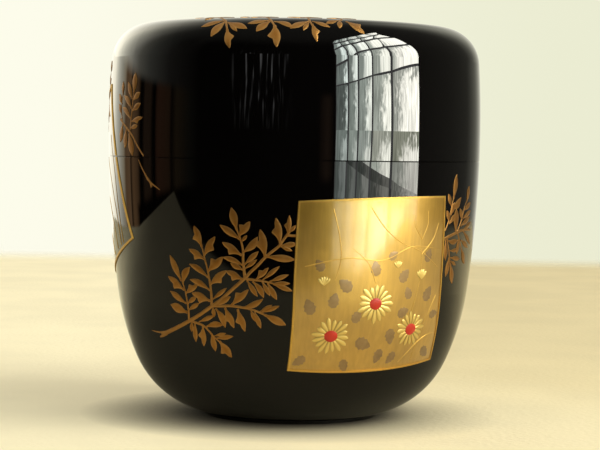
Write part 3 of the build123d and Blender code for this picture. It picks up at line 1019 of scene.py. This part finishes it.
def cloth_floor(look):
    """A pale woven cloth, with painted shade in its colour. The lacquer mirrors its near side, painted darker, and a
    painted contact shadow lies where the caddy stands.
    """
    corners = [(x, y, 0) for x, y in (
        (FLOOR_LEFT, FLOOR_FRONT), (FLOOR_RIGHT, FLOOR_FRONT), (FLOOR_RIGHT, FLOOR_BACK), (FLOOR_LEFT, FLOOR_BACK))]
    mesh = new_mesh("floor", corners, [], [(0, 1, 2, 3)])
    new_object("floor", mesh)
    made, node, place = new_material("pale_cotton_cloth")
    mesh.materials.append(made)
    smooth = functools.partial(stepped, made.node_tree)
    part = node("SeparateXYZ", place).outputs
    x, y = part["X"], part["Y"]

    # The weave is drawn coarse enough to show
    weave = node("TexNoise", Vector=place, Scale=per_metre(1.2 * MM), Detail=2.0)
    cloud = node("TexNoise", Vector=place, Scale=per_metre(40 * MM), Detail=3.0)
    # Painted shade: the cloth's colour darkens to the right, most at the back, and further back on the right, as if
    # less light fell there; the cloud is random tone
    dimmer = smooth((x, -0.06, 0.07), (y, -0.04, 0.12, 0.5, 1.4))
    tone = node("MixRGB", dimmer, rgba(look.cloth), rgba(look.cloth_shaded_right))
    far_right_shade = node("Math", smooth((y, 0.0, 0.14, 1.0, 0.84)), smooth((x, 0.03, -0.03)), operation="MAXIMUM")
    mottle_and_shade = node("Math", smooth((cloud, 0.35, 0.65, 0.96, 1.02)), far_right_shade, operation="MULTIPLY")
    tone = node("MixRGB", 1.0, tone, mottle_and_shade, blend_type="MULTIPLY")

    # Painted shade: the lacquer's mirror shows the near side darkened in its colour, deeper to the front, and soft
    # light off the cloth is dimmed
    path = node("LightPath").outputs
    seen = path["Is Camera Ray"]
    unseen = node("Math", 1.0, seen, operation="SUBTRACT")
    level = node("Math", smooth((y, 0.0, 0.16, 0.3, 0.95)), unseen, operation="MULTIPLY")
    unmirrored = node("Math", unseen, path["Is Singular Ray"], operation="SUBTRACT")
    unmirrored = node("Math", unmirrored, CLOTH_BOUNCE, operation="MULTIPLY")
    # Painted shadow: where the caddy stands, the camera sees the cloth's colour darkened by its occlusion, leaning
    # away from the window
    painted_contact_shadow = node("AmbientOcclusion", Distance=14 * MM, Normal=(0.6, 0.0, 0.8), samples=8).outputs["AO"]
    painted_contact_shadow = node("Math", painted_contact_shadow, smooth((x, -0.02, 0.025, 1.3, 0.6)), operation="POWER")
    painted_contact_shadow = node("Math", seen, painted_contact_shadow, operation="MULTIPLY")
    near_light = node("Math", node("Math", level, unmirrored, operation="MAXIMUM"), painted_contact_shadow, operation="MAXIMUM")
    tone = node("MixRGB", 1.0, tone, near_light, blend_type="MULTIPLY")
    cloth = node("BsdfPrincipled", Base_Color=tone, Roughness=0.9, Specular_IOR_Level=0.2,
                 Normal=node("Bump", Height=weave, Distance=0.12 * MM))
    share = node("Math", seen, look.floor_glow, operation="MULTIPLY")
    lit = node("MixShader", share, cloth, node("Emission", Color=tone))

    # The cloth ends outside the picture: at a straight front edge, and at a slanting one on the left
    slant = node("Math", node("Math", y, 0.08, operation="MINIMUM"), 0.722, operation="MULTIPLY")
    from_slant = node("Math", x, slant, operation="SUBTRACT")
    ends = smooth((y, -0.113, -0.099), (from_slant, -0.338, -0.320))
    around = node("Math", unmirrored, FLOOR_BOUNCE, operation="MULTIPLY")
    around = node("Math", seen, around, operation="MAXIMUM")
    fade = smooth(
        (x, FLOOR_LEFT, FLOOR_LEFT + 0.08), (x, FLOOR_RIGHT, FLOOR_RIGHT - 0.08),
        (y, FLOOR_FRONT, FLOOR_FRONT + 0.06), (y, FLOOR_BACK, FLOOR_BACK - 0.09))
    fade = node("Math", fade, node("Math", ends, around, operation="MAXIMUM"), operation="MULTIPLY")
    node("OutputMaterial", node("MixShader", fade, node("BsdfTransparent"), lit))


# The window on the right. Each upright, from the right, is the azimuth and the slope of its foot, of the ground's
# near edge, of the lower and the upper edge of a shadow on the ground, of the ground's far edge, of the hedge's
# top, of four bars and of the window's top
WINDOW_UPRIGHTS = (
    ((80.5, -0.27), (80.5, -0.13), (80.5, -0.101), (80.5, -0.092), (80.2, -0.042), (80, 0.02), (80, 0.1425),
     (85.3, 0.755), (91, 1.30), (94.5, 1.76), (104, 1.95)),
    ((60.1, -0.27), (60.1, -0.13), (60.1, -0.092), (60.1, -0.078), (60.2, -0.042), (60.3, 0.02), (59.9, 0.144),
     (62.6, 0.652), (71.5, 1.34), (80, 1.68), (82, 2.05)),
    ((46, -0.27), (46, -0.13), (46, -0.084), (46.2, -0.068), (46.4, -0.042), (47, 0.02), (47.1, 0.142), (48.2, 0.505),
     (53, 1.11), (57.5, 1.48), (62, 1.85)),
    ((37.4, -0.27), (37.4, -0.13), (37.5, -0.074), (37.6, -0.057), (37.8, -0.042), (38.1, 0.02), (38, 0.133),
     (38, 0.345), (39.7, 0.88), (41, 1.22), (46, 1.585)),
    ((31.2, -0.27), (31.2, -0.13), (31.3, -0.065), (31.4, -0.048), (31.7, -0.042), (31.9, 0.02), (31.9, 0.127),
     (31.6, 0.171), (31, 0.73), (31.5, 0.99), (35, 1.33)),
    ((24.1, -0.27), (24.1, -0.13), (24.1, -0.056), (24.2, -0.046), (24.2, -0.042), (24.4, 0.02), (24.2, 0.122),
     (24.2, 0.163), (23.8, 0.448), (26, 0.869), (29.4, 1.166)),
)
HEDGE_TOP = 5
UPRIGHT_HALF_TURNS = (0.0, 0.8, 0.55, 0.5, 0.5, 0.3)
BAR_HALF_SLOPES = {
    6: (0.0018,) * 6, 7: (0.04, 0.045, 0.045, 0.03, 0.0018, 0.0018), 8: (0.06, 0.07, 0.06, 0.05, 0.05, 0.04),
    9: (0.05,) * 6,
}
# Each row of panes from the bottom up: its height and the share of it up to which bright glass shows, and by column
# from the right the light of the glass and of the curtain, and the share of the pane that the curtain hides
WINDOW_ROWS = (
    (2.0, 2.0, ((1.2, 1.1, 0.1), (1.3, 1.2, 0.1), (1.2, 1.1, 0.1), (1.1, 1.0, 0.1), (0.8, 0.7, 0.1))),
    (1.7, 2.0, ((0.22, 0.13, 0.4), (0.16, 0.09, 0.4), (0.2, 0.11, 0.4), (0.16, 0.08, 0.4), (0.2, 0.11, 0.4))),
    (0.9, 2.0, ((0.3, 0.16, 0.4), (0.12, 0.07, 0.5), (0.1, 0.06, 0.5), (0.08, 0.05, 0.5), (0.2, 0.1, 0.4))),
    (2.2, 2.0, ((0.5, 0.32, 0.4), (0.8, 0.5, 0.45), (0.38, 0.25, 0.4), (0.2, 0.12, 0.4), (0.26, 0.14, 0.4))),
    (3.3, 0.55, ((0.85, 0.32, 0.35), (0.95, 0.48, 0.4), (0.75, 0.42, 0.5), (0.62, 0.38, 0.55), (0.55, 0.26, 0.5))),
    (6.1, 0.94, ((1.08, 0.45, 0.26), (1.12, 0.50, 0.5), (1.0, 0.40, 0.58), (0.9, 0.32, 0.66), (0.85, 0.14, 0.76))),
    (2.4, 0.9, ((1.12, 0.62, 0.16), (1.12, 0.5, 0.44), (1.12, 0.4, 0.42), (1.0, 0.26, 0.5), (1.0, 0.22, 0.7))),
    (0.9, 2.0, ((1.12, 0.8, 0.1), (1.15, 0.6, 0.3), (1.2, 0.5, 0.3), (1.1, 0.35, 0.42), (1.0, 0.3, 0.5))),
    (0.4, 2.0, ((1.0, 0.7, 0.1), (1.15, 0.5, 0.3), (1.0, 0.5, 0.35), (0.9, 0.4, 0.4), (0.8, 0.35, 0.4))),
    (0.3, 2.0, ((0.9, 0.5, 0.3), (1.0, 0.5, 0.3), (0.8, 0.4, 0.3), (0.7, 0.35, 0.4), (0.6, 0.3, 0.4))),
)
WINDOW_FRAME = 0.045
WINDOW_GLASS = ("#FFFDF0", "#FCFCEE", "#F4F8EC", "#ECF4EA", "#E8F4EC")
WINDOW_CURTAIN = ("#E0E4D6", "#DCE4D6", "#DAE6DA", "#D6E4D8", "#D2E2D8")
# The hedge's own tints, by row and column
HEDGE = {(4, 0): "#DCE0C8", (4, 1): "#DADECC"}
# Height on the caddy from which the window's slopes are given
WINDOW_SIGHT_HEIGHT = 35 * MM


def window(look):
    """A tall barred window: in each pane a grey curtain on the left, then the bright, uneven glass."""
    points, faces, glass, curtain, panes, streaks = [], [], [], [], [], []

    def face(distance, lower, upper, ends, lifts, texture, bright, grey):
        """Four corners from the bottom right, the place of each on the pane and its streaks, and the colours."""
        faces.append(range(len(points), len(points) + 4))
        for x, up in ((0, 0), (1, 0), (1, 1), (0, 1)):
            share = ends[x]
            azimuth, slope = (a + share * (b - a) for a, b in zip(*(upper if up else lower)))
            lift = lifts[up][0] + share * (lifts[up][1] - lifts[up][0])
            slope += -lift if up else lift
            azimuth = math.radians(azimuth)
            points.append((
                distance * math.sin(azimuth), -distance * math.cos(azimuth), distance * slope + WINDOW_SIGHT_HEIGHT))
            panes.extend((1 - share, up))
            streaks.extend((texture[0] + texture[1] * share, texture[2] + up * texture[3]))
        glass.extend(bright)
        curtain.extend(grey)

    no_bars = [0.0] * len(WINDOW_UPRIGHTS)
    for column, (right, left) in enumerate(zip(WINDOW_UPRIGHTS, WINDOW_UPRIGHTS[1:])):
        corners = list(zip(right, left))
        wide = abs(left[HEDGE_TOP][0] - right[HEDGE_TOP][0])
        ends = (UPRIGHT_HALF_TURNS[column] / wide, 1 - UPRIGHT_HALF_TURNS[column + 1] / wide)
        for row, (tall, reach, values) in enumerate(WINDOW_ROWS):
            lifts = [BAR_HALF_SLOPES.get(row + up, no_bars)[column:column + 2] for up in (0, 1)]
            # Where the pane's streaks start in their pattern, and how far they run, across and up
            texture = (17 * column, 0.65 * wide, 11 * row, tall)
            bright, grey, hidden = values[column]
            tint = HEDGE.get((row, column), WINDOW_CURTAIN[column])
            face(look.window_distance, *corners[row:row + 2], ends, lifts, texture,
                 (*[bright * c for c in linear(WINDOW_GLASS[column])], hidden),
                 (*[grey * c for c in linear(tint)], reach))
            if row:
                # The frame and bars, a little behind the pane
                face(1.01 * look.window_distance, *corners[row:row + 2], (0, 1), ((0, 0), (0, 0)), texture,
                     (WINDOW_FRAME, WINDOW_FRAME, WINDOW_FRAME, 0), (WINDOW_FRAME, WINDOW_FRAME, WINDOW_FRAME, 2))
    mesh = new_mesh("window", points, [], faces, (
        ("glass", "FLOAT_COLOR", "FACE", "color", glass), ("curtain", "FLOAT_COLOR", "FACE", "color", curtain),
        ("pane", "FLOAT2", "CORNER", "vector", panes), ("streak", "FLOAT2", "CORNER", "vector", streaks),
    ))
    made = new_object("window", mesh)
    made.visible_camera = False

    material, node, place = new_material("window_light")
    mesh.materials.append(material)
    smooth = functools.partial(stepped, material.node_tree)
    pane, streak, bright, grey = (
        node("Attribute", attribute_name=name).outputs for name in ("pane", "streak", "glass", "curtain"))
    pane, streak = node("SeparateXYZ", pane["Vector"]).outputs, streak["Vector"]
    uneven = node("Math", node("TexNoise", Vector=streak, Scale=1.0, Detail=4.0), 0.5, operation="SUBTRACT")
    past_curtain = node("Math", uneven, 1.1, pane["X"], operation="MULTIPLY_ADD")
    past_curtain = node("Math", past_curtain, bright["Alpha"], operation="SUBTRACT")
    under_top = node("Math", uneven, 1.3, pane["Y"], operation="MULTIPLY_ADD")
    under_top = node("Math", grey["Alpha"], under_top, operation="SUBTRACT")
    open_glass = smooth((past_curtain, -0.16, 0.22), (under_top, -0.1, 0.1))
    colour = node("MixRGB", open_glass, grey["Color"], bright["Color"])
    fine = node("TexNoise", Vector=node("Mapping", Vector=streak, Scale=(1.7, 0.35, 1)), Scale=1.0, Detail=3.0)
    colour = node("MixRGB", 1.0, colour, smooth((fine, 0.3, 0.7, 0.66, 1.2)), blend_type="MULTIPLY")
    # Past the lacquer's mirror the window lights the room more from its right side
    across = node("SeparateXYZ", place).outputs["X"]
    soft = smooth((across, 0.5, 1.25, 0.45 * look.window_light, 1.15 * look.window_light))
    strength = mirrored(material.node_tree, look.window_strength, soft)
    node("OutputMaterial", node("Emission", Color=colour, Strength=strength))


# Light and colour of the room by direction, in degrees from the front, negative to the left: low down, where
# dark posts stand on the left, and higher up
ROOM_LOW = (
    (-180, "#F6F3E4", 0.95), (-165, "#F8F4E2", 1.8), (-150, "#F8F2DC", 2.8), (-141, "#F4F0DC", 1.9),
    (-134, "#E8E2CC", 1.5), (-129, "#E4D2B0", 1.3), (-127, "#C49A70", 0.75), (-120.5, "#C49A70", 1.105),
    (-119.5, "#6A5040", 0.136), (-117.5, "#C09468", 1.02), (-111.5, "#B48A62", 0.765), (-109, "#4A4038", 0.068),
    (-106, "#4A4038", 0.068), (-104, "#A88468", 0.272), (-98, "#A88468", 0.272), (-96.5, "#503830", 0.034),
    (-94, "#503830", 0.034), (-92, "#A87458", 0.459), (-82, "#A07858", 0.408), (-80, "#605040", 0.102),
    (-76, "#A88C68", 0.289), (-66, "#90907C", 0.12), (-60, "#606060", 0.02), (-50, "#404048", 0.008),
    (14, "#404048", 0.01), (20, "#A08068", 0.42), (24, "#404040", 0.02), (84, "#F0ECD8", 0.08),
    (132, "#F0EED8", 0.12), (148, "#F2F0DA", 0.36), (164, "#F4F2DE", 0.9), (180, "#F6F3E4", 0.95),
)
ROOM_HIGH = (
    (-180, "#F6F3E4", 0.95), (-165, "#F8F4E2", 2.2), (-150, "#F8F2DC", 3.4), (-141, "#F6F2DC", 3.0),
    (-124, "#F4F0DC", 1.8), (-118, "#EEEAD8", 1.2), (-112, "#E8E4D0", 0.72), (-101, "#E0E0D0", 0.4),
    (-83, "#D0CCC0", 0.14), (-60, "#606060", 0.015), (20, "#404040", 0.006), (84, "#F0ECD8", 0.08),
    (122, "#F0EED8", 0.11), (136, "#F0EED8", 0.14), (146, "#F2F0DA", 0.34), (154, "#F2F0DA", 0.62),
    (164, "#F4F2DE", 0.9), (180, "#F6F3E4", 0.95),
)
ROOM_PEAK = 3.8
MIRRORED_CEILING = 0.08


def room(look):
    """The room: a pale wall behind, brightest on the left, dark posts at the side, dimness in front, light above."""
    world = bpy.data.worlds.new("room")
    bpy.context.scene.world = world
    world.use_nodes = True
    tree = world.node_tree
    tree.nodes.clear()
    node, smooth = functools.partial(add, tree), functools.partial(stepped, tree)
    toward = node("SeparateXYZ", node("TexCoord")).outputs
    turn = node("Math", toward["Y"], -1.0, operation="MULTIPLY")
    turn = node("Math", toward["X"], turn, operation="ARCTAN2")
    around = node("MapRange", turn, -math.pi, math.pi)
    levels = []
    for lights in (ROOM_LOW, ROOM_HIGH):
        ramp = node("ValToRGB", around)
        stops = ramp.color_ramp.elements
        while len(stops) < len(lights):
            stops.new(0.5)
        for stop, (degrees, tint, light) in zip(stops, lights):
            stop.position = (degrees + 180) / 360
            stop.color = rgba(linear(tint), light / ROOM_PEAK)
        levels.append(ramp)

    # Higher up the room is dimmer, but not on the right
    on_right = smooth((turn, -1.4, -1.2), (turn, 3.13, 2.8))
    higher = node("Math", smooth((toward["Z"], 0.75, 0.18, 0.38, 1.0)), on_right, operation="MAXIMUM")
    higher = node("MixRGB", 1.0, levels[1], higher, blend_type="MULTIPLY")
    lit = node("MixRGB", smooth((toward["Z"], 0.074, 0.095)), levels[0], higher)
    # Faint upright gleams of the dim room in front
    across = node("CombineXYZ", turn, node("Math", toward["Z"], 0.35, operation="MULTIPLY"))
    gleam = node("TexNoise", Vector=across, Scale=28.0, Detail=2.0)
    gleam = smooth(
        (gleam, 0.55, 0.75, 0.0, 1.3 / ROOM_PEAK), (turn, -0.75, -0.45), (turn, 0.0, -0.25),
        (toward["Z"], 0.0, 0.1), (toward["Z"], 0.36, 0.2))
    lit = node("MixRGB", 1.0, lit, gleam, blend_type="ADD")
    # Low down the room is dark, but not on the far left and right, and it lights the rest less than the mirror
    shade = smooth((toward["Z"], -0.108, -0.088))
    for side in (smooth((turn, -1.92, -2.0)), smooth((turn, 1.3, 1.5))):
        shade = node("Math", shade, side, operation="MAXIMUM")
    shade = node("Math", shade, mirrored(tree, 1.0, 0.6), operation="MULTIPLY")
    lit = node("MixRGB", 1.0, lit, shade, blend_type="MULTIPLY")
    # The ceiling lights the caddy from above, and the mirror sees little of it
    ceiling = mirrored(tree, MIRRORED_CEILING / ROOM_PEAK, look.ceiling / ROOM_PEAK)
    ceiling = node("MixRGB", 1.0, rgba(look.wall_left), ceiling, blend_type="MULTIPLY")
    overhead = node("Math", toward["Z"], mirrored(tree, 0.5, 0.15), operation="SUBTRACT")
    lit = node("MixRGB", smooth((overhead, 0.0, 0.45)), lit, ceiling)
    glow = node("Background", Color=lit, Strength=ROOM_PEAK)
    wall = node("MixRGB", smooth((toward["X"], -0.15, 0.15)), rgba(look.wall_left), rgba(look.wall_right))
    seen = node("Background", Color=wall, Strength=1.0)
    camera_ray = node("LightPath").outputs["Is Camera Ray"]
    node("OutputWorld", node("MixShader", camera_ray, glow, seen))


def camera():
    """The camera, where the photograph was taken from."""
    lens = bpy.data.cameras.new("camera")
    lens.lens, lens.sensor_width = CAMERA_LENS, CAMERA_SENSOR
    lens.clip_start, lens.clip_end = 0.01, 20
    made = new_object("camera", lens)
    made.matrix_world = CAMERA_TURN.to_4x4()
    made.location = CAMERA_PLACE
    bpy.context.scene.camera = made


class CADDY_PT_panel(bpy.types.Panel):
    """Shows the tea caddy's settings and the buttons for its operators."""

    bl_label = "Tea caddy"
    bl_idname = "CADDY_PT_panel"
    bl_space_type = "VIEW_3D"
    bl_region_type = "UI"
    bl_category = "Tea caddy"

    def draw(self, context):
        for group in SETTINGS:
            for name in group.__annotations__:
                self.layout.prop(getattr(context.scene, SETTINGS[group]), name)
        for operator in OPERATORS:
            self.layout.operator(operator.bl_idname)


SETTINGS = {CaddyLacquer: "caddy_lacquer", CaddyGold: "caddy_gold", CaddyStage: "caddy_stage"}
OPERATORS = (CADDY_OT_lacquer, CADDY_OT_cards, CADDY_OT_sprays, CADDY_OT_card_picture, CADDY_OT_stage)


def register():
    for group, name in SETTINGS.items():
        bpy.utils.register_class(group)
        setattr(bpy.types.Scene, name, bpy.props.PointerProperty(type=group))
    for shown in (*OPERATORS, CADDY_PT_panel):
        bpy.utils.register_class(shown)


def unregister():
    for shown in (*OPERATORS, CADDY_PT_panel):
        bpy.utils.unregister_class(shown)
    for group, name in SETTINGS.items():
        delattr(bpy.types.Scene, name)
        bpy.utils.unregister_class(group)


def main():
    """Registers the add-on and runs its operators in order."""
    register()
    bpy.ops.caddy.lacquer()
    bpy.ops.caddy.cards()
    bpy.ops.caddy.sprays()
    bpy.ops.caddy.card_picture()
    bpy.ops.caddy.stage()


if __name__ == "__main__":
    main()
